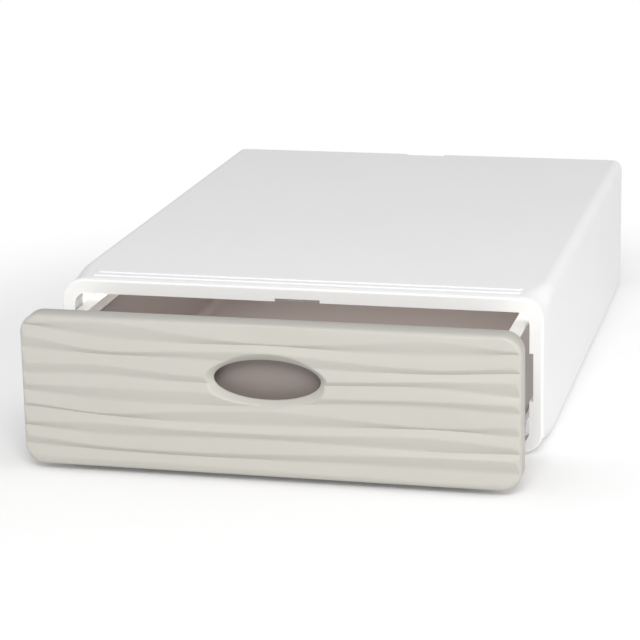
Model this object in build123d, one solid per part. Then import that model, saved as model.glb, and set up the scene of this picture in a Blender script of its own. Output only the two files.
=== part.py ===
from build123d import *
import os

os.makedirs("parts", exist_ok=True)

# Stackable drawer box, in millimetres. X is across the front, Y runs from the front to the
# back and Z is up. The origin is the middle of the casing's underside. The drawer is
# modelled partly open, as far as drawer_open says.

# ---- Casing: outside
case_width = 331.0
case_taper = 6.0  # how much narrower the casing is at its back
case_height = 108.0
case_depth = 440.0
case_wall = 2.6
corner_back = 7.5
corner_front = 15.5
nose_length = 50.0  # the front stretch over which the long edges grow rounder
nose_flat = 9.0  # the stretch at the very front that keeps the full corner radius
top_step = 0.8  # the front lip and the stacking beads stand this far above the top face

# ---- Casing: stacking beads on the top, grooves for them underneath
bead_length = 296.0
bead_near_width = 4.5
bead_near_place = 16.2  # from the front face to the middle of the bead
bead_far_width = 6.0
bead_far_place = 26.0
bead_clearance = 0.5

# ---- Casing: rails that the drawer runs on
rail_top = 9.6
rail_bearing = 17.5  # how far a rail reaches in under the drawer's foot
fence_rise = 6.9  # above the rail
fence_width = 2.6
fence_gap = 2.9  # between the fence and the drawer's foot
rail_start = 1.0  # behind the front frame

# ---- Front frame
lip_depth = 6.0
lip_round = 1.5
frame_face = 2.6
frame_wall = 2.4
frame_depth = 16.0
spigot_wall = 2.0
spigot_fit = 0.15
frame_side = 9.0  # from the casing's side to the opening
frame_head = 9.5  # from the casing's top to the opening
frame_sill = 8.0  # from the casing's underside to the opening
opening_corner = 8.5
stack_relief = 0.2  # the frame's underside clears the lip of a box below by this much

# ---- Slots for joining clips
clip_length = 31.0
clip_height = 2.0
clip_pocket_depth = 3.0
clip_side_length = 33.0
clip_side_height = 2.6
clip_side_rise = 1.0  # above the middle of the opening
clip_rear_depth = 4.0

# ---- Back panel
back_recess = 1.5
back_plate = 2.6
back_rim_depth = 12.0
back_rib_width = 1.8
back_rib_depth = 4.0
back_rib_pitch = 54.0

# ---- Travel of the drawer
drawer_open = 70.0
drawer_out = 280.0  # how much further it comes out before it meets its stops
closed_gap = 0.5

# ---- Drawer tub
tub_wall = 2.4
tub_floor = 2.4
band_draft = 0.8  # how far the upper band's sides lean out
foot_step = 2.2  # the foot stands in from the band by this much
foot_draft = 0.8
foot_height = 10.6
tub_run_gap = 0.3  # between the tub's underside and the rails
tub_corner = 14.0
tub_floor_round = 6.0
rear_gap = 7.6  # between the closed drawer and the back panel

# ---- Drawer rim
rim_head_gap = 10.0  # under the top of the opening
rim_side_gap = 3.2  # between the rim and the sides of the opening
rim_plate = 1.8
rim_overhang = 4.8  # past the tub's sides
rim_ledge = 4.1  # inside the tub's sides
rim_skirt_depth = 5.0
rim_skirt_gap = 0.3
rim_corner = 12.0
stop_catch = 2.5  # how far a stop reaches up behind the front frame
stop_length = 11.0
stop_crest = 3.0
stop_thickness = 3.0
stop_inset = 1.3

# ---- Front panel
panel_side_inset = 0.5  # from the casing's side
panel_head_inset = 1.5  # from the casing's top
panel_bottom = 4.5
panel_depth = 17.0
panel_corner = 17.0
panel_edge_round = 9.0
panel_edge_lead = 1.5  # the edge rounding starts this far in front of the foremost ripple
panel_wall = 2.6
panel_skin = 2.2
panel_rib = 1.6

# ---- Finger hole through the front panel; fingers hook behind it, in front of the tub
hole_half_width = 35.4
hole_half_height = 13.4
hole_drop = 37.5  # from the panel's top to the middle of the hole
mouth_flare = 5.6
mouth_depth = 5.5
mouth_lip = 1.5  # the straight part behind the flare
mouth_wall = 2.0

# ---- Studs that hold the front panel on the tub
stud_radius = 2.2
stud_gap = 0.2
stud_boss_radius = 4.0
stud_head_radius = 4.2
stud_head = 1.6
stud_side = 40.5  # from the tub's side
stud_rise = 20.1  # the lower studs, from the tub's underside
stud_drop = 12.7  # the upper studs, from the tub's top edge

# ---- Ripples on the front panel. Lines run across the panel: the crest of each ridge and
# the furrow below it. A line is given at evenly spaced stations from the panel's left edge
# to its right one, as a share of the panel's height in percent, and the topmost comes first.
crest_lines = (
    (94.6, 97.7, 91.8, 87.9, 90.5, 94.5, 90.7),
    (86.1, 78.7, 80.6, 81.9, 78.7, 76.8, 80.4),
    (67.9, 69.0, 65.1, 64.8, 66.2, 69.0, 70.6),
    (53.9, 54.1, 54.1, 54.4, 55.0, 56.5, 56.4),
    (41.7, 37.0, 41.0, 44.1, 41.6, 39.2, 42.6),
    (28.9, 30.2, 28.8, 29.1, 30.6, 32.1, 28.9),
    (19.3, 14.8, 14.2, 15.8, 18.1, 19.8, 20.1),
    (5.6, 5.6, 5.5, 4.8, 3.8, 3.0, 3.9),
)
furrow_lines = (
    (93.5, 87.5, 85.6, 86.6, 85.6, 86.3, 88.7),
    (78.1, 75.8, 76.0, 74.5, 73.0, 73.4, 76.5),
    (61.1, 62.5, 60.3, 60.9, 63.2, 64.7, 61.3),
    (49.8, 46.0, 45.2, 47.2, 51.5, 52.7, 50.9),
    (38.9, 35.2, 33.7, 34.1, 36.0, 37.5, 36.3),
    (26.0, 22.6, 24.0, 24.9, 24.1, 23.2, 24.6),
    (13.7, 11.8, 11.1, 11.6, 12.2, 12.3, 11.8),
)
ripple_reach = 1.8  # depth of the furrows behind the panel's foremost plane
ripple_steepest = 0.6  # the greatest fall of a ridge's under side over its height
crest_round = 0.3  # 0 makes the crests sharp, 1 rounds the whole ridge
ripple_margin = 4.0  # how far the ripples are drawn past the panel's edges
ripple_lap = 0.6  # how far neighbouring ridges run into each other below their furrow

# ---- Worked out from the sizes above
front_y = -case_depth / 2
back_y = case_depth / 2
case_back_width = case_width - case_taper
sleeve_front_y = front_y + lip_depth
sleeve_top = case_height - top_step
frame_bottom = top_step + stack_relief
frame_rear_y = front_y + frame_depth
opening_width = case_width - 2 * frame_side
opening_top = case_height - frame_head
opening_middle = (opening_top + frame_sill) / 2
back_rim_y = back_y - back_recess - back_plate - back_rim_depth
panel_back_y = front_y - drawer_open
panel_front_y = panel_back_y - panel_depth
panel_width = case_width - 2 * panel_side_inset
panel_top = case_height - panel_head_inset
hole_height = panel_top - hole_drop
rim_top = opening_top - rim_head_gap
rim_half_width = opening_width / 2 - rim_side_gap
tub_top = rim_top - rim_plate
tub_bottom = rail_top + tub_run_gap
band_bottom = tub_bottom + foot_height
tub_half_top = rim_half_width - rim_overhang
tub_half_band = tub_half_top - band_draft
foot_half = tub_half_band - foot_step
tub_length = back_rim_y - rear_gap - rim_overhang - front_y + closed_gap
tub_rear_y = panel_back_y + tub_length
over = 1.0  # how far a cutting shape runs past what it cuts


def upright_outline(width, bottom, top, radius, y):
    """A rounded rectangle that stands across Y."""
    plane = Plane(origin=(0, y, (bottom + top) / 2), x_dir=(1, 0, 0), z_dir=(0, -1, 0))
    return plane * RectangleRounded(width, top - bottom, radius)


def upright_ellipse(half_width, half_height, y):
    plane = Plane(origin=(0, y, hole_height), x_dir=(1, 0, 0), z_dir=(0, -1, 0))
    return plane * Ellipse(half_width, half_height)


def upright_prism(outline, length):
    """Carries an upright outline backwards."""
    return extrude(outline, amount=length, dir=(0, 1, 0))


def block(x0, x1, y0, y1, z0, z1):
    """A straight-sided block between two corners."""
    size = Box(x1 - x0, y1 - y0, z1 - z0)
    return Pos((x0 + x1) / 2, (y0 + y1) / 2, (z0 + z1) / 2) * size


# ---- Casing


def case_width_at(y):
    """The casing narrows towards the back from where its nose ends."""
    behind = max(y - front_y - nose_length, 0)
    return case_width - case_taper * behind / (case_depth - nose_length)


def case_corner_at(y):
    """The long edges swell smoothly from their back radius to their front one."""
    share = (front_y + nose_length - y) / (nose_length - nose_flat)
    share = min(max(share, 0), 1)
    swell = share * share * (3 - 2 * share)
    return corner_back + (corner_front - corner_back) * swell


def case_block(y0, y1, inset, bottom, top):
    """The casing's outside form between two places along Y, all sides moved in by inset."""
    nose_steps = 6
    pitch = (nose_length - nose_flat) / nose_steps
    nose = [front_y + nose_flat + pitch * i for i in range(nose_steps + 1)]
    places = [y0] + [y for y in nose if y0 + 0.5 < y < y1 - 0.5] + [y1]
    outlines = [
        upright_outline(
            case_width_at(y) - 2 * inset, bottom + inset, top - inset, case_corner_at(y) - inset, y
        )
        for y in places
    ]
    return loft(outlines, ruled=True)


def bead(width, place, bottom, top, grow):
    """A long bar with round ends across the casing, grown all round by grow."""
    shape = SlotOverall(bead_length + 2 * grow, width + 2 * grow)
    return Pos(0, front_y + place, bottom) * extrude(shape, amount=top - bottom)


def sleeve():
    outside = case_block(sleeve_front_y, back_y, 0, 0, sleeve_top)
    inside = case_block(sleeve_front_y - over, back_y + over, case_wall, 0, sleeve_top)
    shell = outside - inside
    for width, place in ((bead_near_width, bead_near_place), (bead_far_width, bead_far_place)):
        ridge = bead(width, place, sleeve_top - case_wall / 2, case_height, 0)
        shell += chamfer(ridge.edges().group_by(Axis.Z)[-1], top_step / 2)
        shell -= bead(width, place, -over, top_step + stack_relief, bead_clearance)
    for side in (-1, 1):
        shell += rail(side)
    clip = clip_length / 2
    shell -= block(-clip, clip, back_y - clip_rear_depth, back_y + over, -over, case_height + over)
    return shell


def rail(side):
    """One rail on the casing's floor, with a fence that guides the tub's foot."""
    y0 = frame_rear_y + rail_start
    y1 = back_rim_y - rail_start
    floor = case_wall / 2
    inner = foot_half + fence_gap
    outer = inner + fence_width
    base = block(foot_half - rail_bearing, outer, y0, y1, floor, rail_top)
    fence = block(inner, outer, y0, y1, floor, rail_top + fence_rise)
    lead = fence.edges().filter_by(Axis.X).group_by(Axis.Z)[-1].sort_by(Axis.Y)[0]
    fence = chamfer(lead, fence_rise - over)
    shape = base + fence
    return shape if side > 0 else mirror(shape, about=Plane.YZ)


def opening_prism(grow, y0, y1):
    outline = upright_outline(
        opening_width + 2 * grow, frame_sill - grow, opening_top + grow, opening_corner + grow, y0
    )
    return upright_prism(outline, y1 - y0)


def front_frame():
    """The bezel: a lip that carries on the casing's outside, a face round the opening, and a
    tunnel and a spigot behind it. It is open at the back, like any thin moulding."""
    lip = case_block(front_y, sleeve_front_y, 0, frame_bottom, case_height)
    lip = fillet(lip.faces().sort_by(Axis.Y)[0].edges(), lip_round)
    seat = case_wall + spigot_fit
    spigot = case_block(sleeve_front_y, frame_rear_y, seat, 0, sleeve_top)
    hollow = case_block(front_y + frame_face, frame_rear_y + over, seat + spigot_wall, 0, sleeve_top)
    tunnel = opening_prism(frame_wall, front_y + frame_face - over, frame_rear_y + 2 * over)
    frame = lip + spigot - (hollow - tunnel)
    frame -= opening_prism(0, front_y - over, frame_rear_y + over)
    return frame - clip_slots()


def clip_slots():
    """Pockets at the middle of the top and bottom edges of the opening, and slots right
    through the middle of its two sides."""
    clip = clip_length / 2
    half = opening_width / 2
    pocket = (front_y - over, front_y + clip_pocket_depth)
    through = (front_y - over, frame_rear_y + over)
    top = block(-clip, clip, *pocket, opening_top - over, opening_top + clip_height)
    bottom = block(-clip, clip, *pocket, frame_sill - clip_height, frame_sill + over)
    place = opening_middle + clip_side_rise
    middle = (place - clip_side_length / 2, place + clip_side_length / 2)
    right = block(half - over, half + clip_side_height, *through, *middle)
    left = block(-half - clip_side_height, -half + over, *through, *middle)
    return top + bottom + right + left


def back_panel():
    """A shallow tray that closes the sleeve's rear end, with ribs on its inner face."""
    seat = case_wall + spigot_fit
    outer_y = back_y - back_recess
    inner_y = outer_y - back_plate
    rim_y = inner_y - back_rim_depth
    tray = case_block(rim_y, outer_y, seat, 0, sleeve_top)
    tray -= case_block(rim_y - over, inner_y, seat + spigot_wall, 0, sleeve_top)
    half_width = case_back_width / 2 - seat - spigot_wall
    count = int((half_width - back_rib_width) / back_rib_pitch)
    for i in range(-count, count + 1):
        x = i * back_rib_pitch
        span = (seat + spigot_wall / 2, sleeve_top - seat - spigot_wall / 2)
        tray += block(x - back_rib_width / 2, x + back_rib_width / 2,
                      inner_y - back_rib_depth, inner_y + back_plate / 2, *span)
    return tray


# ---- Drawer


def level_outline(half_width, y0, y1, radius, z):
    """A rounded rectangle that lies level, centred across X."""
    return Pos(0, (y0 + y1) / 2, z) * RectangleRounded(2 * half_width, y1 - y0, radius)


def tub_outline(half_width, z):
    """The tub's plan with the given half width: its front stays upright and its rear
    draws in as much as its sides do."""
    draw = tub_half_top - half_width
    return level_outline(half_width, panel_back_y, tub_rear_y - draw, tub_corner - draw / 2, z)


def drawer_tub():
    foot = loft([tub_outline(foot_half - foot_draft, tub_bottom), tub_outline(foot_half, band_bottom)])
    band = loft([tub_outline(tub_half_band, band_bottom), tub_outline(tub_half_top, tub_top)])
    tub = foot + band
    inner_half = foot_half - foot_draft - tub_wall
    cavity = loft([cavity_outline(inner_half, tub_bottom + tub_floor),
                   cavity_outline(tub_half_top - tub_wall, tub_top)])
    floor_edges = cavity.faces().sort_by(Axis.Z)[0].edges()
    tub -= fillet(floor_edges, tub_floor_round)
    for x, z in stud_places():
        tub -= upright_rod(x, z, stud_radius + stud_gap, panel_back_y - over, panel_back_y + tub_wall + over)
    return tub


def cavity_outline(half_width, z):
    """The plan of the tub's hollow at a height."""
    draw = tub_half_top - tub_wall - half_width
    return level_outline(
        half_width, panel_back_y + tub_wall, tub_rear_y - tub_wall - draw, tub_corner - tub_wall, z
    )


def drawer_rim():
    """A flat frame that caps the tub's top edge, with a skirt inside the tub and two
    fins that stop the drawer at the front frame."""
    front = panel_back_y
    rear = tub_rear_y + rim_overhang
    outer = level_outline(rim_half_width, front, rear, rim_corner + rim_overhang, tub_top)
    inner = level_outline(
        tub_half_top - rim_ledge, front + rim_ledge, tub_rear_y - rim_ledge, rim_corner,
        tub_top - rim_skirt_depth,
    )
    plate = extrude(outer, amount=rim_plate)
    plate = fillet(plate.faces().sort_by(Axis.Z)[-1].outer_wire().edges(), rim_plate / 2)
    sheath = tub_wall + rim_skirt_gap + skirt_draft()
    skirt = level_outline(
        tub_half_top - sheath, front + sheath, tub_rear_y - sheath, rim_corner, tub_top - rim_skirt_depth
    )
    rim = plate + extrude(skirt, amount=rim_skirt_depth + rim_plate / 2)
    rim -= extrude(Pos(0, 0, -over) * inner, amount=rim_skirt_depth + rim_plate + 2 * over)
    return rim + stop_fin(1) + stop_fin(-1)


def skirt_draft():
    """How far the tub's walls lean in over the depth of the rim's skirt."""
    rise = tub_top - tub_bottom - tub_floor
    lean = tub_half_top - foot_half + foot_draft
    return lean * rim_skirt_depth / rise


def stop_fin(side):
    """A fin on the rim's side, upright in front and sloping behind."""
    y0 = frame_rear_y + drawer_out + closed_gap
    base = rim_top - rim_plate / 2
    top = opening_top + stop_catch
    points = [(y0, base), (y0, top), (y0 + stop_crest, top), (y0 + stop_length, base)]
    profile = make_face(Polyline([(0, y, z) for y, z in points], close=True))
    x0 = rim_half_width - stop_inset - stop_thickness
    fin = Pos(x0, 0, 0) * extrude(profile, amount=stop_thickness, dir=(1, 0, 0))
    return fin if side > 0 else mirror(fin, about=Plane.YZ)


def stud_places():
    x = tub_half_top - stud_side
    heights = (tub_bottom + stud_rise, tub_top - stud_drop)
    return [(side * x, z) for side in (-1, 1) for z in heights]


def upright_rod(x, z, radius, y0, y1):
    """A round rod along Y."""
    plane = Plane(origin=(x, y0, z), x_dir=(1, 0, 0), z_dir=(0, 1, 0))
    return extrude(plane * Circle(radius), amount=y1 - y0)


def panel_height_at(percent):
    """The height over the casing's base of a share of the panel's height."""
    return panel_bottom + (panel_top - panel_bottom) * percent / 100


def station_places(count):
    """Where a line's stations lie across the panel; the outermost two lie past its edges."""
    places = [panel_width * (i / (count - 1) - 0.5) for i in range(count)]
    return [places[0] - ripple_margin, *places[1:-1], places[-1] + ripple_margin]


def ridge_section(x, upper, crest, lower):
    """A ridge cut upright: a long slope from the furrow above it to its crest, and a steeper
    one from there to the furrow below. The solid behind it is closed by straight lines."""
    deep = panel_front_y + ripple_reach
    rise = min(ripple_steepest * (crest - lower), ripple_reach)
    upper_bend = crest + crest_round * (upper - crest)
    lower_bend = crest - crest_round * (crest - lower)
    upper_foot = (x, deep + rise * ripple_lap / (upper - upper_bend), upper + ripple_lap)
    lower_foot = (x, deep + rise * ripple_lap / (lower_bend - lower), lower - ripple_lap)
    top = (x, deep - rise, crest)
    rear = deep + panel_skin / 2
    long_slope = Bezier(upper_foot, (x, deep - rise, upper_bend), top)
    short_slope = Bezier(top, (x, deep - rise, lower_bend), lower_foot)
    rest = Polyline(lower_foot, (x, rear, lower - ripple_lap), (x, rear, upper + ripple_lap), upper_foot)
    return make_face([long_slope, short_slope, *rest.edges()])


def rippled_body():
    """The solid behind the rippled skin, larger than the panel all round."""
    side = panel_width / 2 + ripple_margin
    low, high = panel_bottom - ripple_margin, panel_top + ripple_margin
    slab_y = panel_front_y + ripple_reach + ripple_lap / 2
    body = block(-side, side, slab_y, panel_back_y + over, low, high)
    furrows = [[panel_height_at(share) for share in line] for line in furrow_lines]
    count = len(furrows[0])
    furrows = [[high] * count, *furrows, [low] * count]
    for number, line in enumerate(crest_lines):
        crests = [panel_height_at(share) for share in line]
        rows = zip(station_places(count), furrows[number], crests, furrows[number + 1])
        body += loft([ridge_section(*row) for row in rows])
    return body


def front_panel():
    start_y = panel_front_y - panel_edge_lead
    outline = upright_outline(panel_width, panel_bottom, panel_top, panel_corner, start_y)
    body = upright_prism(outline, panel_back_y - start_y)
    body = fillet(body.faces().sort_by(Axis.Y)[0].edges(), panel_edge_round)
    body = body & rippled_body()
    pocket_y = panel_front_y + ripple_reach + panel_skin
    pocket = upright_outline(
        panel_width - 2 * panel_wall, panel_bottom + panel_wall, panel_top - panel_wall,
        panel_corner - panel_wall, pocket_y,
    )
    body -= upright_prism(pocket, panel_depth)
    body += panel_ribs(pocket_y - panel_skin / 2)
    body += mouth(pocket_y)
    body -= finger_hole()
    for x, z in stud_places():
        body += stud(x, z, pocket_y - panel_skin / 2)
    return body


def panel_ribs(y0):
    """Ribs behind the skin, which meet the tub's front wall: four upright ones that keep
    clear of the finger hole, and one across below it."""
    bays = 6
    side = panel_width / 2 - panel_wall / 2
    ribs = []
    for i in (-2, -1, 1, 2):
        x = i * panel_width / bays
        ribs.append(block(x - panel_rib / 2, x + panel_rib / 2, y0, panel_back_y,
                          panel_bottom + panel_wall / 2, panel_top - panel_wall / 2))
    z = (panel_bottom + hole_height - hole_half_height) / 2
    ribs.append(block(-side, side, y0, panel_back_y, z - panel_rib / 2, z + panel_rib / 2))
    return ribs


def mouth(pocket_y):
    """The thick boss round the flared mouth."""
    y0 = pocket_y - panel_skin / 2
    grow = mouth_flare + mouth_wall
    outline = upright_ellipse(hole_half_width + grow, hole_half_height + grow, y0)
    return upright_prism(outline, panel_front_y + mouth_depth + mouth_lip - y0)


def finger_hole():
    """The hole itself and its mouth, which opens towards the front in a smooth curve."""
    hole = upright_prism(
        upright_ellipse(hole_half_width, hole_half_height, panel_front_y - over), panel_depth
    )
    stages = ((-0.4, 1.12), (0.12, 0.72), (0.45, 0.28), (1.0, 0.0))
    flare = loft([
        upright_ellipse(
            hole_half_width + mouth_flare * spread, hole_half_height + mouth_flare * spread,
            panel_front_y + mouth_depth * depth,
        )
        for depth, spread in stages
    ])
    return hole + flare


def stud(x, z, y0):
    """A boss that reaches the tub's wall, and a headed stud that goes through it."""
    inside = panel_back_y + tub_wall
    boss = upright_rod(x, z, stud_boss_radius, y0, panel_back_y)
    shank = upright_rod(x, z, stud_radius, panel_back_y - over, inside + stud_head / 2)
    head = upright_rod(x, z, stud_head_radius, inside, inside + stud_head)
    head = chamfer(head.faces().sort_by(Axis.Y)[-1].edges(), stud_head / 2)
    return boss + shank + head


# ---- The sub-parts, one file each

pieces = {
    "sleeve": sleeve,
    "front_frame": front_frame,
    "back_panel": back_panel,
    "drawer_tub": drawer_tub,
    "drawer_rim": drawer_rim,
    "front_panel": front_panel,
}

if __name__ == "__main__":
    for name, build in pieces.items():
        export_step(build(), "parts/" + name + ".step")
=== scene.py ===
"""A stackable drawer box of moulded plastic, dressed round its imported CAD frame.

It is laid out as an add-on: each piece or group of like pieces has an operator, and the sizes
and colours that a user would change are properties of the scene. Lengths are in metres.
"""

from math import cos, hypot, pi, radians, sin, sqrt, tau

import bmesh
import bpy
from bpy.props import FloatProperty, FloatVectorProperty, IntProperty, PointerProperty
from bpy.types import Operator, Panel, PropertyGroup
from mathutils import Matrix, Vector
from mathutils.geometry import delaunay_2d_cdt


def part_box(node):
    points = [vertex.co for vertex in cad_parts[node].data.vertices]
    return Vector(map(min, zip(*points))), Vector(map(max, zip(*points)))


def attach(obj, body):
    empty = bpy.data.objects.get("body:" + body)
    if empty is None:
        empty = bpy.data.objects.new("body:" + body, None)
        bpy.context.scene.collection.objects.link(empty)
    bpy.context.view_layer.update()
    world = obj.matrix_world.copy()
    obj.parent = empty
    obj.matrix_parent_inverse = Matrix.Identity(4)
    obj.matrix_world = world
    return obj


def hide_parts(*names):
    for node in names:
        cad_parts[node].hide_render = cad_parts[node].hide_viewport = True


bl_info = {
    "name": "Stackable drawer box",
    "version": (1, 0, 0),
    "blender": (4, 5, 0),
    "location": "3D View > Sidebar > Drawer Box",
    "description": "Models and finishes a stackable drawer box with a rippled front",
    "category": "Object",
}

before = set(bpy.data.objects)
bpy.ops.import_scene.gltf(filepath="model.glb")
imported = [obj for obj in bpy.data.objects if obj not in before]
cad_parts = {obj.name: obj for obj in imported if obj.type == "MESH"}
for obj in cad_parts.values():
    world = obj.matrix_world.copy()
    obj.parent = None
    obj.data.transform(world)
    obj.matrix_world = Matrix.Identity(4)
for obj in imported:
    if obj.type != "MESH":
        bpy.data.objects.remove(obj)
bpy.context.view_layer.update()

MM = 0.001

# How the casing's inner faces, which get painted light, are told from its outer ones: the share of X, Y
# and Z, and a gain.
INWARD_WEIGHTS = (0.15, 0, 1)
INWARD_GAIN = 20


# ---- Shader maths


class Field:
    """A socket of a material's nodes. Python's operators on it add Math nodes."""

    def __init__(self, tree, socket):
        self.tree = tree
        self.socket = socket

    def maths(self, operation, first, second):
        return self.tree.add("Math", {"operation": operation}, {0: first, 1: second})

    def __add__(self, other):
        return self.maths("ADD", self, other)

    def __radd__(self, other):
        return self.maths("ADD", other, self)

    def __sub__(self, other):
        return self.maths("SUBTRACT", self, other)

    def __rsub__(self, other):
        return self.maths("SUBTRACT", other, self)

    def __mul__(self, other):
        return self.maths("MULTIPLY", self, other)

    def __rmul__(self, other):
        return self.maths("MULTIPLY", other, self)


class Finish:
    """A node tree of a material or of the world, to which nodes are added by name."""

    def __init__(self, owner):
        self.owner = owner
        owner.use_nodes = True
        owner.node_tree.nodes.clear()

    def add(self, kind, settings=None, inputs=None, output=0):
        """Adds a shader node, sets it, links its sockets and gives one of its outputs."""
        tree = self.owner.node_tree
        node = tree.nodes.new("ShaderNode" + kind)
        for name, value in (settings or {}).items():
            setattr(node, name, value)
        for name, value in (inputs or {}).items():
            if isinstance(value, Field):
                tree.links.new(value.socket, node.inputs[name])
            else:
                node.inputs[name].default_value = value
        return Field(self, node.outputs[output]) if node.outputs else None

    def blend(self, share, first, second):
        """Mixes two colours."""
        plain = [c if isinstance(c, Field) else (*c, 1) for c in (first, second)]
        return self.add(
            "Mix", {"data_type": "RGBA"}, {0: share, 6: plain[0], 7: plain[1]}, output=2
        )

    def noise(self, scale, detail, roughness=0.5):
        place = self.add("TexCoord", output="Object")
        return self.add(
            "TexNoise",
            inputs={"Vector": place, "Scale": scale, "Detail": detail, "Roughness": roughness},
        )

    def dot(self, first, second):
        return self.add("VectorMath", {"operation": "DOT_PRODUCT"}, {0: first, 1: second}, "Value")

    def limited(self, value):
        """A value held between 0 and 1."""
        return self.add("Clamp", inputs={"Value": value})

    def inner_faces(self):
        """How far a face looks into the casing, as the mask of its painted light: 1 under its roof,
        about half on the inside of its side walls, 0 on its floor and, but for the slots, about 0 on its
        outside."""
        place = self.add("TexCoord", output="Object")
        facing = self.add("TexCoord", output="Normal")
        weighed = self.add("VectorMath", {"operation": "MULTIPLY"}, {0: place, 1: INWARD_WEIGHTS})
        return self.limited(self.dot(weighed, facing) * -INWARD_GAIN)

    def close(self, surface, kind="OutputMaterial"):
        self.add(kind, inputs={"Surface": surface})
        return self.owner


def new_finish(name):
    return Finish(bpy.data.materials.new(name))


# ---- The user's sizes and colours


def size(name, description, default, **more):
    """A length that the user can set."""
    return FloatProperty(
        name=name, description=description, default=default, unit="LENGTH", precision=4, **more
    )


def colour(name, description, default):
    return FloatVectorProperty(
        name=name, description=description, default=default, subtype="COLOR", min=0, max=1
    )


class CasingLooks(PropertyGroup):
    sleeve_colour: colour("Sleeve", "Colour of the sleeve", (0.85, 0.85, 0.86))
    # The front frame's white is lighter than the sleeve's, which brightens its front face where the
    # drawer shades it: painted light.
    frame_colour: colour("Front frame", "Colour of the front frame", (0.92, 0.92, 0.905))
    back_colour: colour("Back panel", "Colour of the back panel", (0.86, 0.86, 0.87))
    grain: size("Grain", "Width of the grain on the casing's plastic", 0.9 * MM)
    glow: FloatProperty(
        name="Glow", description="Light given off by the sleeve's inner faces, set by eye", default=1.3
    )


class DrawerLooks(PropertyGroup):
    tub_colour: colour("Tub", "Colour of the drawer's tub", (0.285, 0.242, 0.222))
    rim_colour: colour("Rim", "Colour of the rim round the tub's top", (0.72, 0.71, 0.66))
    panel_colour: colour("Front panel", "Colour of the rippled front", (0.505, 0.492, 0.446))
    grain: size("Grain", "Width of the grain on the drawer's plastic", 1.1 * MM)


class PanelShape(PropertyGroup):
    corner: size("Corner", "Radius of the panel's corners, seen from the front", 13 * MM)
    edge_round: size("Edge rounding", "Radius of the rounding along the front edges", 4 * MM)
    wall: size("Wall", "Thickness of the panel's side walls", 2.6 * MM)
    skin: size("Skin", "Thickness of the skin behind the deepest furrow", 2.2 * MM)
    depth: size("Depth", "Depth of the panel from its crests to its back edge", 17 * MM)
    reach: size("Ripple reach", "Depth of the furrows behind the crests", 2.1 * MM)
    steepest: FloatProperty(
        name="Steepest", description="Greatest fall of a ridge's under side over its height", default=0.7
    )
    crest_round: FloatProperty(
        name="Crest rounding", description="0 is sharp, 0.49 is round", default=0.18, min=0, max=0.49
    )
    crease: size("Crease", "Softness of the lines where two forms meet", 0.25 * MM)
    hole_half_width: size("Hole half width", "Half the finger hole's width", 35.4 * MM)
    hole_half_height: size("Hole half height", "Half the finger hole's height", 13.4 * MM)
    hole_height: size("Hole place", "Height of the finger hole's middle", 69 * MM)
    flare: size("Mouth flare", "How far the mouth opens past the hole", 5.6 * MM)
    flare_depth: size("Mouth depth", "How deep the mouth's flare goes", 5.5 * MM)
    lip: size("Mouth lip", "Length of the hole's straight part behind the flare", 1.5 * MM)
    mouth_wall: size("Mouth wall", "Thickness of the boss round the mouth", 2 * MM)
    rib: size("Ribs", "Thickness of the ribs behind the skin", 1.6 * MM)
    tub_wall: size("Tub wall", "Thickness of the tub's front wall behind the panel", 2.4 * MM)
    stud_head: size("Stud heads", "Thickness of the heads of the studs", 1.6 * MM)
    columns: IntProperty(
        name="Columns", description="Columns of points across the panel", default=132, min=20
    )


class StageSetting(PropertyGroup):
    eye: FloatVectorProperty(
        name="Camera place",
        description="Where the camera stands",
        default=(0.4035, -1.785, 0.5385),
        subtype="TRANSLATION",
        unit="LENGTH",
    )
    turn: FloatProperty(
        name="Camera turn", description="How far it looks to the left", default=0.243, unit="ROTATION"
    )
    tilt: FloatProperty(
        name="Camera tilt", description="How far it looks down", default=0.273, unit="ROTATION"
    )
    roll: FloatProperty(
        name="Camera roll", description="Its turn about its own line", default=-0.020, unit="ROTATION"
    )
    lens: FloatProperty(name="Lens", description="Focal length", default=141.25, unit="CAMERA")
    floor_colour: colour("Floor", "Colour of the floor", (0.86, 0.86, 0.86))
    floor_glow: FloatProperty(
        name="Floor glow", description="Light added to the floor where it is seen", default=0.1
    )
    key_power: FloatProperty(
        name="Key light", description="Power of the key light", default=35, unit="POWER"
    )
    side_power: FloatProperty(
        name="Side light", description="Power of the light on the right", default=16.5, unit="POWER"
    )
    sky: FloatProperty(name="Sky", description="Strength of the light all round", default=0.58)


# ---- Plastics


def moulded_plastic(name, tint, grain, gloss, glow=0, flow=0.02, relief=0.04):
    """Moulded plastic: a faint cloudiness from its flow into the mould, fine grain in its
    skin, and a gloss that varies a little where hands have rubbed it. A glow above 0 paints
    light on the casing's inner faces. This painted light stands in for light that isn't traced."""
    finish = new_finish(name)
    clouds = finish.noise(14, 3)
    streaks = finish.noise(90, 2)
    lighter = [min(1, c * (1 + flow)) for c in tint]
    darker = [c * (1 - flow) for c in tint]
    skin = finish.blend(clouds * 0.7 + streaks * 0.3, darker, lighter)
    grains = finish.noise(1 / grain, 3, 0.6)
    rubbed = finish.noise(30, 4)
    bump = finish.add(
        "Bump", inputs={"Strength": relief, "Distance": 0.1 * grain, "Height": grains}
    )
    looks = {
        "Base Color": skin,
        "Roughness": gloss + (rubbed - 0.5) * 0.12 + (grains - 0.5) * 0.06,
        "Normal": bump,
        "IOR": 1.5,
    }
    if glow:
        # Painted light: the inner faces glow in the plastic's tint.
        looks["Emission Color"] = finish.blend(finish.inner_faces(), (0, 0, 0), tint)
        looks["Emission Strength"] = glow
    return finish.close(finish.add("BsdfPrincipled", inputs=looks))


def clothe(obj, material):
    """Puts one material on the whole of an object."""
    obj.data.materials.clear()
    obj.data.materials.append(material)


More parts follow.
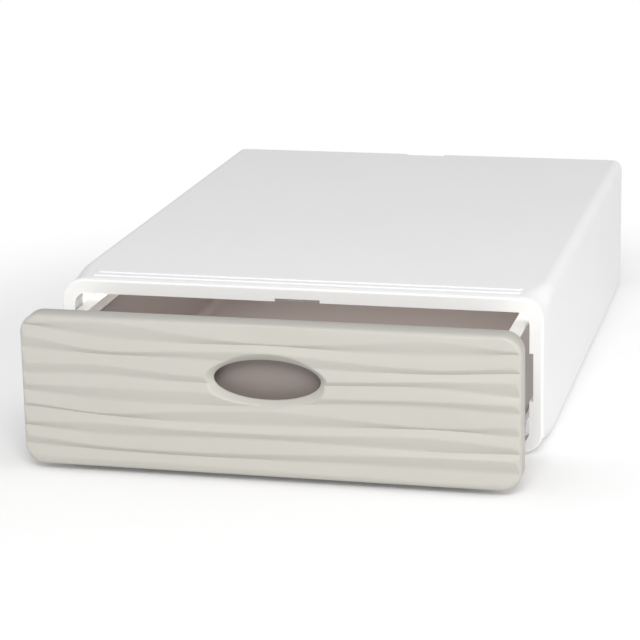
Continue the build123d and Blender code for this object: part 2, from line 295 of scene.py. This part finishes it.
def make_piece(name, bm, material, body):
    """Turns a bmesh into a piece that rides on a body."""
    mesh = bpy.data.meshes.new(name)
    bm.to_mesh(mesh)
    bm.free()
    obj = bpy.data.objects.new(name, mesh)
    bpy.context.scene.collection.objects.link(obj)
    clothe(obj, material)
    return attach(obj, body)


# ---- The casing


class DRAWERBOX_OT_casing(Operator):
    """Gives the casing's sleeve, front frame and back panel their plastics"""

    bl_idname = "drawer_box.casing"
    bl_label = "Finish Casing"

    def execute(self, context):
        looks = context.scene.drawer_box_casing
        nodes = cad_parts
        # The sleeve and back panel get painted light on their inner faces.
        for name, slot, tint, gloss, glow in (
            ("sleeve", "casing_white", looks.sleeve_colour, 0.36, looks.glow),
            ("front_frame", "frame_white", looks.frame_colour, 0.44, 0),
            ("back_panel", "back_white", looks.back_colour, 0.4, looks.glow),
        ):
            clothe(nodes[name], moulded_plastic(slot, tint, looks.grain, gloss, glow))
        return {"FINISHED"}


# ---- The drawer


class DRAWERBOX_OT_drawer(Operator):
    """Gives the drawer's tub and rim their plastics"""

    bl_idname = "drawer_box.drawer"
    bl_label = "Finish Drawer"

    def execute(self, context):
        looks = context.scene.drawer_box_drawer
        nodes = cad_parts
        tub = moulded_plastic("tub_taupe", looks.tub_colour, looks.grain, 0.45, relief=0.1)
        clothe(nodes["drawer_tub"], tub)
        clothe(nodes["drawer_rim"], moulded_plastic("rim_cream", looks.rim_colour, looks.grain, 0.34))
        return {"FINISHED"}


# ---- The front panel

# Lines run across the panel: the crest of each ridge and the furrow below it. Each is given
# at stations evenly spaced from the left edge to the right, in percent of the panel's height.
CREST_LINES = (
    (94.6, 97.7, 91.8, 87.9, 90.5, 94.5, 90.7),
    (86.1, 78.7, 80.6, 81.9, 78.7, 76.8, 80.4),
    (67.9, 69.0, 65.1, 64.8, 66.2, 69.0, 70.6),
    (53.9, 54.1, 54.1, 54.4, 55.0, 56.5, 56.4),
    (41.7, 37.0, 41.0, 44.1, 41.6, 39.2, 42.6),
    (28.9, 30.2, 28.8, 29.1, 30.6, 32.1, 28.9),
    (19.3, 14.8, 14.2, 15.8, 18.1, 19.8, 20.1),
    (5.6, 5.6, 5.5, 4.8, 3.8, 3.0, 3.9),
)
FURROW_LINES = (
    (93.5, 87.5, 85.6, 86.6, 85.6, 86.3, 88.7),
    (78.1, 75.8, 76.0, 74.5, 73.0, 73.4, 76.5),
    (61.1, 62.5, 60.3, 60.9, 63.2, 64.7, 61.3),
    (49.8, 46.0, 45.2, 47.2, 51.5, 52.7, 50.9),
    (38.9, 35.2, 33.7, 34.1, 36.0, 37.5, 36.3),
    (26.0, 22.6, 24.0, 24.9, 24.1, 23.2, 24.6),
    (13.7, 11.8, 11.1, 11.6, 12.2, 12.3, 11.8),
)
# The mouth's curve: the share of its depth at a share of its flare.
MOUTH_CURVE = ((0.0, 1.0), (0.4, 0.55), (0.8, 0.16), (1.15, -0.17))
MOUTH_END = 1.2  # share of the flare at which the mouth's curve has run out
RIPPLE_MARGIN = 4 * MM  # how far the ripples are drawn past the panel's edges
EDGE_STEPS, MOUTH_STEPS = 9, 13  # rings of points on the edge's rounding and in the mouth
MOUTH_RINGS_END = 1.25  # share of the flare at the outermost ring
MOUTH_CLEAR = 1.33  # share of the flare within which only crests and furrows are drawn
EDGE_CLEAR = 0.4 * MM  # the same past the edge's rounding
LINE_CLEAR = 0.3 * MM  # how near to an edge a crest or furrow is drawn
SIDE_CLEAR = 0.2 * MM  # how near to the sides the outer columns are
UPPER_PARTS = (1, 0.85, 0.7, 0.52, 0.34, 0.18, 0.07)  # rows on a ridge's long upper slope
LOWER_PARTS = (0, 0.1, 0.28, 0.52, 0.78)  # and on its short lower one, from the crest


def along(row, share):
    """The smooth curve through evenly spaced values, at a share of the way along them."""
    last = len(row) - 1
    place = min(max(share, 0), 1) * last
    start = min(int(place), last - 1)
    a, b, c, d = (row[min(max(i, 0), last)] for i in range(start - 1, start + 3))
    t = place - start
    bend = 2 * a - 5 * b + 4 * c - d
    return b + t * (c - a + t * (bend + t * (d - a + 3 * (b - c)))) / 2


def through(stations, at):
    """The smooth curve through (place, value) stations."""
    total = 0
    for i, (place, value) in enumerate(stations):
        weight = 1
        for j, (other, _) in enumerate(stations):
            if j != i:
                weight *= (at - other) / (place - other)
        total += value * weight
    return total


def soft_max(first, second, reach):
    """The larger of two values, rounded off where they cross."""
    return (first + second + hypot(first - second, reach)) / 2


class RippledFront:
    """The form of the front panel, worked out from its sizes and its CAD node's box."""

    def __init__(self, shape):
        low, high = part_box("front_panel")
        self.shape = shape
        self.half_width = high.x
        self.bottom, self.top = low.z, high.z
        self.middle = (low.z + high.z) / 2
        self.half_height = (high.z - low.z) / 2
        self.back_y = high.y - shape.tub_wall - shape.stud_head
        self.crest_y = self.back_y - shape.depth

    def edge_gap(self, x, z):
        """How far a point lies inside the panel's outline."""
        corner = self.shape.corner
        across = abs(x) - self.half_width + corner
        up = abs(z - self.middle) - self.half_height + corner
        return corner - hypot(max(across, 0), max(up, 0)) - min(max(across, up), 0)

    def inset(self, x, z, distance):
        """A point of the outline, moved inwards."""
        corner = self.shape.corner
        reach_x, reach_z = self.half_width - corner, self.half_height - corner
        centre = Vector((min(max(x, -reach_x), reach_x), min(max(z - self.middle, -reach_z), reach_z)))
        outwards = Vector((x, z - self.middle)) - centre
        place = centre + outwards.normalized() * (outwards.length - distance)
        return place.x, place.y + self.middle

    def outline(self, distance):
        """The panel's outline as a ring of points, moved inwards by a distance."""
        corner = self.shape.corner
        reach_x, reach_z = self.half_width - corner, self.half_height - corner
        steps_x, steps_z, steps_corner = self.shape.columns * 9 // 10, 96, 14
        ring = []
        for quarter, (side_x, side_z) in enumerate(((1, 1), (-1, 1), (-1, -1), (1, -1))):
            for i in range(steps_corner):
                angle = (quarter + i / steps_corner) * pi / 2
                radius = corner - distance
                x = side_x * reach_x + radius * cos(angle)
                z = side_z * reach_z + radius * sin(angle)
                ring.append((x, z))
            level = quarter % 2 == 0
            steps = steps_x if level else steps_z
            for i in range(steps):
                part = 1 - 2 * i / steps
                if level:
                    ring.append((side_x * reach_x * part, side_z * (reach_z + corner - distance)))
                else:
                    ring.append((side_x * (reach_x + corner - distance), side_z * reach_z * part))
        return [(x, z + self.middle) for x, z in ring]

    def mouth_ring(self, grow, count=168):
        """An ellipse round the finger hole, larger than it by grow."""
        shape = self.shape
        half_width, half_height = shape.hole_half_width + grow, shape.hole_half_height + grow
        return [
            (half_width * cos(tau * i / count), shape.hole_height + half_height * sin(tau * i / count))
            for i in range(count)
        ]

    def mouth_gap(self, x, z):
        """By how much the ellipse through a point is larger than the finger hole."""
        shape = self.shape
        up = z - shape.hole_height
        radius = hypot(x, up)
        grow = radius - shape.hole_half_height
        for _ in range(12):
            across, high = shape.hole_half_width + grow, shape.hole_half_height + grow
            rim = radius / hypot(x / across, up / high)
            grow = max(grow + (radius - rim), -shape.hole_half_height / 2)
        return grow

    def heights(self, row, x):
        """The height of a line at x."""
        share = x / (2 * self.half_width) + 0.5
        return self.bottom + 2 * self.half_height * along(row, share) / 100

    def ridges(self, x):
        """The ridges at x from the top down: each one's upper furrow, crest and lower furrow."""
        furrows = [self.heights(row, x) for row in FURROW_LINES]
        furrows = [self.top + RIPPLE_MARGIN, *furrows, self.bottom - RIPPLE_MARGIN]
        crests = [self.heights(row, x) for row in CREST_LINES]
        return list(zip(furrows, crests, furrows[1:]))

    def ripple(self, x, z):
        """How far the skin lies behind the foremost crests."""
        shape = self.shape
        ridges = self.ridges(x)
        upper, crest, lower = ridges[sum(z < ridge[2] for ridge in ridges[:-1])]
        rise = min(shape.steepest * (crest - lower), shape.reach)
        span = upper - crest if z > crest else crest - lower
        part = min(abs(z - crest) / span, 1)
        bend = shape.crest_round
        fall = (sqrt(bend * bend + (1 - 2 * bend) * part) - bend) / (1 - 2 * bend)
        return shape.reach - rise * (1 - fall * fall)

    def skin_y(self, x, z):
        """The place of the front skin along Y."""
        shape = self.shape
        y = self.crest_y + self.ripple(x, z)
        gap = max(self.edge_gap(x, z), 0)
        if gap < shape.edge_round:
            rise = sqrt(shape.edge_round**2 - (shape.edge_round - gap) ** 2)
            edge = self.crest_y + shape.edge_round - rise
            y = soft_max(y, edge, shape.crease)
        mouth = self.mouth_gap(x, z) / shape.flare
        if mouth < MOUTH_END:
            flare = self.crest_y + shape.flare_depth * through(MOUTH_CURVE, mouth)
            y = soft_max(y, flare, shape.crease)
        return y


def ridge_rows(form, x):
    """The heights of the rows of points at x, from the top down, and which of them are lines
    to be kept right up to the panel's edge."""
    rows = []
    for upper, crest, lower in form.ridges(x):
        rows += [(crest + (upper - crest) * part, part == 1) for part in UPPER_PARTS]
        rows += [(crest + (lower - crest) * part, part == 0) for part in LOWER_PARTS]
    return rows


def front_skin(form):
    """The rippled skin as triangles, with points along its edge, its mouth and its furrows."""
    shape = form.shape
    points, lines = [], []

    def draw(path, closed):
        first = len(points)
        points.extend(Vector(p) for p in path)
        links = [(i, i + 1) for i in range(first, len(points) - 1)]
        if closed:
            links.append((len(points) - 1, first))
        lines.extend(links)

    for i in range(EDGE_STEPS + 1):
        gap = shape.edge_round * (1 - cos(pi / 2 * i / EDGE_STEPS))
        draw(form.outline(gap), True)
    for i in range(MOUTH_STEPS + 1):
        draw(form.mouth_ring(MOUTH_RINGS_END * shape.flare * i / MOUTH_STEPS), True)
    half = form.half_width - SIDE_CLEAR
    clear_edge = shape.edge_round + EDGE_CLEAR
    clear_mouth = MOUTH_CLEAR * shape.flare
    places = [half * (2 * i / shape.columns - 1) for i in range(shape.columns + 1)]
    columns = [ridge_rows(form, x) for x in places]
    for row in zip(*columns):
        run = []
        for x, (z, kept) in zip(places, row):
            inside = form.edge_gap(x, z) > (LINE_CLEAR if kept else clear_edge)
            clear = form.mouth_gap(x, z) > (LINE_CLEAR if kept else clear_mouth)
            if inside and clear:
                run.append((x, z))
            else:
                if run:
                    draw(run, False)
                run = []
        if run:
            draw(run, False)
    stretch = 1000
    flat = [p * stretch for p in points]
    found = delaunay_2d_cdt(flat, lines, [], 0, 1e-4, False)
    places = [v / stretch for v in found[0]]
    bm = bmesh.new()
    verts = [bm.verts.new((p.x, form.skin_y(p.x, p.y), p.y)) for p in places]
    for face in found[2]:
        middle = sum((places[i] for i in face), Vector((0, 0))) / len(face)
        if form.edge_gap(*middle) > 0 and form.mouth_gap(*middle) > 0:
            bm.faces.new([verts[i] for i in face])
    loose = [v for v in verts if not v.link_faces]
    bmesh.ops.delete(bm, geom=loose, context="VERTS")
    bmesh.ops.recalc_face_normals(bm, faces=bm.faces)
    return bm


def carry_loop(bm, loop, place):
    """Extrudes a loop of edges, puts each new point where place says, and gives the new loop."""
    made = bmesh.ops.extrude_edge_only(bm, edges=loop)["geom"]
    for vert in made:
        if isinstance(vert, bmesh.types.BMVert):
            vert.co = place(vert.co)
    return [e for e in made if isinstance(e, bmesh.types.BMEdge) and len(e.link_faces) == 1]


def hollow_back(bm, form):
    """Closes the skin behind: side walls, the pocket and the boss round the mouth."""
    shape = form.shape
    back, pocket = form.back_y, form.crest_y + shape.reach + shape.skin
    rims = [e for e in bm.edges if len(e.link_faces) == 1]
    outer = [e for e in rims if form.mouth_gap(e.verts[0].co.x, e.verts[0].co.z) > shape.flare]
    inner = [e for e in rims if e not in set(outer)]

    def side(distance, y):
        def place(co):
            x, z = form.inset(co.x, co.z, distance)
            return Vector((x, y, z))
        return place

    def ring(before, after, y):
        """Moves a point of one ellipse round the hole to another."""
        def place(co):
            up = (co.z - shape.hole_height) / (shape.hole_half_height + before)
            across = co.x / (shape.hole_half_width + before)
            return Vector((
                across * (shape.hole_half_width + after),
                y,
                shape.hole_height + up * (shape.hole_half_height + after),
            ))
        return place

    soft = 0.5 * MM
    steps = [(0, back - soft), (soft, back), (shape.wall - soft, back), (shape.wall, back - soft)]
    gone = 0
    for distance, y in steps + [(shape.wall, pocket)]:
        outer = carry_loop(bm, outer, side(distance - gone, y))
        gone = distance
    boss_y = form.crest_y + shape.flare_depth + shape.lip
    boss = shape.flare + shape.mouth_wall
    gone = 0
    for grow, y in [(0, boss_y - soft), (soft, boss_y), (boss, boss_y), (boss, pocket)]:
        inner = carry_loop(bm, inner, ring(gone, grow, y))
        gone = grow
    bmesh.ops.triangle_fill(bm, edges=outer + inner, use_beauty=True, normal=(0, 1, 0))
    bmesh.ops.recalc_face_normals(bm, faces=bm.faces)


def add_block(bm, low, high):
    """Adds a straight-sided block between two corners."""
    low, high = Vector(low), Vector(high)
    place = Matrix.Translation((low + high) / 2) @ Matrix.Diagonal((*(high - low), 1))
    bmesh.ops.create_cube(bm, size=1, matrix=place)


def add_rod(bm, x, z, radius, y0, y1):
    """Adds a round rod along Y."""
    place = Matrix.Translation((x, (y0 + y1) / 2, z)) @ Matrix.Rotation(pi / 2, 4, "X")
    bmesh.ops.create_cone(
        bm, cap_ends=True, segments=32, radius1=radius, radius2=radius, depth=y1 - y0, matrix=place
    )


STUD_SIDE = 40.5 * MM  # from the tub's sides
STUD_RISE, STUD_DROP = 20.1 * MM, 12.7 * MM  # from its underside and from its top
STUD_FOOT, STUD_NECK, STUD_CAP = 4 * MM, 2.2 * MM, 4.2 * MM  # radii


def back_ribs(bm, form):
    """Ribs behind the skin, and the headed studs that hold the panel on the tub."""
    shape = form.shape
    back, half = form.back_y, shape.rib / 2
    root = form.crest_y + shape.reach + shape.skin - 1 * MM
    side, low, high = form.half_width - shape.wall, form.bottom + shape.wall, form.top - shape.wall
    for i in (-2, -1, 1, 2):
        x = i * form.half_width / 3
        add_block(bm, (x - half, root, low - 1 * MM), (x + half, back, high + 1 * MM))
    z = (form.bottom + shape.hole_height - shape.hole_half_height) / 2
    add_block(bm, (-side - 1 * MM, root, z - half), (side + 1 * MM, back, z + half))
    low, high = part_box("drawer_tub")
    inside = back + shape.tub_wall
    for x in (low.x + STUD_SIDE, high.x - STUD_SIDE):
        for z in (low.z + STUD_RISE, high.z - STUD_DROP):
            add_rod(bm, x, z, STUD_FOOT, root, back)
            add_rod(bm, x, z, STUD_NECK, back - 1 * MM, inside + 1 * MM)
            add_rod(bm, x, z, STUD_CAP, inside, inside + shape.stud_head)


class DRAWERBOX_OT_front_panel(Operator):
    """Moulds the rippled front panel with its finger hole"""

    bl_idname = "drawer_box.front_panel"
    bl_label = "Mould Front Panel"

    def execute(self, context):
        looks = context.scene.drawer_box_drawer
        form = RippledFront(context.scene.drawer_box_panel)
        bm = front_skin(form)
        hollow_back(bm, form)
        back_ribs(bm, form)
        cream = moulded_plastic("panel_cream", looks.panel_colour, looks.grain, 0.45)
        panel = make_piece("rippled_front", bm, cream, "drawer")
        panel.data.shade_smooth()
        panel.data.set_sharp_from_angle(angle=radians(50))
        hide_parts("front_panel")
        return {"FINISHED"}


# ---- The stage

AIM = (0, -0.1, 0.05)  # the point that both lamps face
KEY_PLACE, KEY_WIDTH, KEY_HEIGHT = (0.5, -2.1, 1.5), 1.2, 0.9
SIDE_PLACE, SIDE_WIDTH, SIDE_HEIGHT = (2.4, -0.6, 1.0), 1.6, 1.6
FADE_MIDDLE = (0.03, -0.12, 0)  # the floor fades to white with the distance from here
FADE_START, FADE_END = 0.3, 0.62


def area_light(name, place, aim, width, height, power):
    """A soft rectangular lamp that faces a point."""
    lamp = bpy.data.lights.new(name, "AREA")
    lamp.shape = "RECTANGLE"
    lamp.size, lamp.size_y = width, height
    lamp.energy = power
    obj = bpy.data.objects.new(name, lamp)
    obj.location = place
    obj.rotation_mode = "QUATERNION"
    obj.rotation_quaternion = (Vector(aim) - Vector(place)).to_track_quat("-Z", "Y")
    bpy.context.scene.collection.objects.link(obj)


def studio_sky(strength):
    """White where it is seen, and a plain soft light where it isn't."""
    world = bpy.data.worlds.new("studio_sky")
    bpy.context.scene.world = world
    sky = Finish(world)
    seen = sky.add("LightPath", output="Is Camera Ray")
    white = (1, 1, 1, 1)
    soft = sky.add("Background", inputs={"Color": white, "Strength": strength})
    bright = sky.add("Background", inputs={"Color": white, "Strength": 1.0})
    sky.close(sky.add("MixShader", inputs={0: seen, 1: soft, 2: bright}), "OutputWorld")


def studio_floor(tint, glow):
    """A plain pale floor that keeps the box's shadow and fades into the white behind it."""
    bm = bmesh.new()
    bmesh.ops.create_grid(bm, x_segments=1, y_segments=1, size=20)
    mesh = bpy.data.meshes.new("studio_floor")
    bm.to_mesh(mesh)
    bm.free()
    floor = bpy.data.objects.new("studio_floor", mesh)
    bpy.context.scene.collection.objects.link(floor)
    finish = new_finish("pale_floor")
    white = (1, 1, 1, 1)
    matt = finish.add("BsdfDiffuse", inputs={"Color": (*tint, 1)})
    lift = finish.add("Emission", inputs={"Color": white, "Strength": glow})
    near = finish.add("AddShader", inputs={0: matt, 1: lift})
    far = finish.add("Emission", inputs={"Color": white, "Strength": 1.0})
    place = finish.add("TexCoord", output="Object")
    away = finish.add("VectorMath", {"operation": "DISTANCE"}, {0: place, 1: FADE_MIDDLE}, "Value")
    fade = finish.add(
        "MapRange",
        {"interpolation_type": "SMOOTHSTEP"},
        {"Value": away, "From Min": FADE_START, "From Max": FADE_END},
    )
    shown = finish.add("MixShader", inputs={0: fade, 1: near, 2: far})
    seen = finish.add("LightPath", output="Is Camera Ray")
    clothe(floor, finish.close(finish.add("MixShader", inputs={0: seen, 1: matt, 2: shown})))


def photo_camera(setting):
    """The camera, from its place, its turns and its lens."""
    forward = Vector((
        -sin(setting.turn) * cos(setting.tilt),
        cos(setting.turn) * cos(setting.tilt),
        -sin(setting.tilt),
    ))
    level = Vector((cos(setting.turn), sin(setting.turn), 0))
    upright = level.cross(forward)
    right = level * cos(setting.roll) + upright * sin(setting.roll)
    up = upright * cos(setting.roll) - level * sin(setting.roll)
    lens = bpy.data.cameras.new("photo_camera")
    lens.sensor_width = 36
    lens.lens = setting.lens
    camera = bpy.data.objects.new("photo_camera", lens)
    turned = Matrix((right, up, -forward)).transposed()
    camera.matrix_world = Matrix.Translation(setting.eye) @ turned.to_4x4()
    bpy.context.scene.collection.objects.link(camera)
    bpy.context.scene.camera = camera


class DRAWERBOX_OT_stage(Operator):
    """Sets the floor, the soft studio light and the camera"""

    bl_idname = "drawer_box.stage"
    bl_label = "Set Stage"

    def execute(self, context):
        setting = context.scene.drawer_box_stage
        studio_sky(setting.sky)
        studio_floor(setting.floor_colour, setting.floor_glow)
        area_light("key_light", KEY_PLACE, AIM, KEY_WIDTH, KEY_HEIGHT, setting.key_power)
        area_light("side_light", SIDE_PLACE, AIM, SIDE_WIDTH, SIDE_HEIGHT, setting.side_power)
        photo_camera(setting)
        context.scene.view_settings.view_transform = "Standard"
        return {"FINISHED"}


# ---- The add-on


class DRAWERBOX_PT_sidebar(Panel):
    """Lists the steps that make the drawer box, with its sizes and colours"""

    bl_idname = "DRAWERBOX_PT_sidebar"
    bl_label = "Drawer Box"
    bl_space_type = "VIEW_3D"
    bl_region_type = "UI"
    bl_category = "Drawer Box"

    def draw(self, context):
        layout = self.layout
        for step in STEPS:
            layout.operator(step.bl_idname)
        for name, group in SETTINGS.items():
            box = layout.box()
            for prop in group.__annotations__:
                box.prop(getattr(context.scene, name), prop)


SETTINGS = {
    "drawer_box_casing": CasingLooks,
    "drawer_box_drawer": DrawerLooks,
    "drawer_box_panel": PanelShape,
    "drawer_box_stage": StageSetting,
}
STEPS = (
    DRAWERBOX_OT_casing,
    DRAWERBOX_OT_drawer,
    DRAWERBOX_OT_front_panel,
    DRAWERBOX_OT_stage,
)


def register():
    for kind in (*SETTINGS.values(), *STEPS, DRAWERBOX_PT_sidebar):
        bpy.utils.register_class(kind)
    for name, group in SETTINGS.items():
        setattr(bpy.types.Scene, name, PointerProperty(type=group))


def unregister():
    for name in SETTINGS:
        delattr(bpy.types.Scene, name)
    for kind in reversed((*SETTINGS.values(), *STEPS, DRAWERBOX_PT_sidebar)):
        bpy.utils.unregister_class(kind)


def main():
    """Makes the drawer box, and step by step."""
    register()
    for step in STEPS:
        group, name = step.bl_idname.split(".")
        getattr(getattr(bpy.ops, group), name)()


if __name__ == "__main__":
    main()
